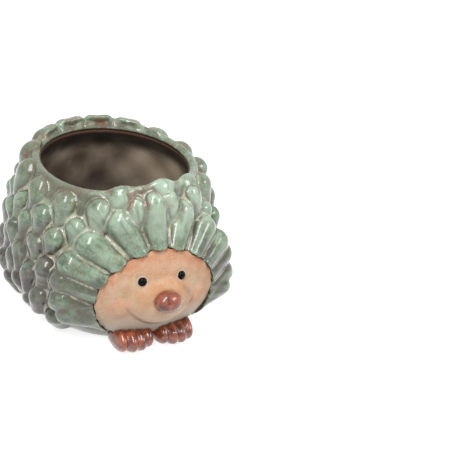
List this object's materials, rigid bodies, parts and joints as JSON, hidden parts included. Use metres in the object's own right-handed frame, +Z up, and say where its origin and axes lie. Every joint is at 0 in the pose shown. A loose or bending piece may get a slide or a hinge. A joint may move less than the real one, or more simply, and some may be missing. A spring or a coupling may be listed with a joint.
{
  "type": "animal shaped planter",
  "caption": "Small round stoneware planter in the form of a hedgehog, with an open mouth in its back, clad in rows of glazed clay spines, with a bare clay face and glazed paws.",
  "frame": {"origin": "centre of the drain hole on the flat foot, on the surface that the planter stands on", "axes": "+Z up out of the pot's mouth, the face looks along -Y, +X towards the animal's left side"},
  "size_m": [0.1104, 0.1298, 0.0777],
  "materials": {
    "green_glaze": "glossy mottled sage green glaze, pale in the grooves, rust at the rim, grey brown inside",
    "face_clay": "matt bare peach clay with fine specks",
    "nose_glaze": "glossy red brown glaze",
    "eye_glaze": "glossy black glaze",
    "paw_glaze": "glossy rust brown glaze"
  },
  "bodies": {
    "root": {"pot_base": "green_glaze", "pot_wall": "green_glaze", "head": "green_glaze", "face": "face_clay", "nose": "nose_glaze", "left_eye": "eye_glaze", "right_eye": "eye_glaze", "left_paw": "paw_glaze", "right_paw": "paw_glaze", "collar_spines": "green_glaze", "spine_row_1": "green_glaze", "spine_row_2": "green_glaze", "spine_row_3": "green_glaze", "spine_row_4": "green_glaze", "spine_row_5": "green_glaze", "spine_row_6": "green_glaze", "spine_row_7": "green_glaze", "rim_spines": "green_glaze"}
  },
  "joints": []
}
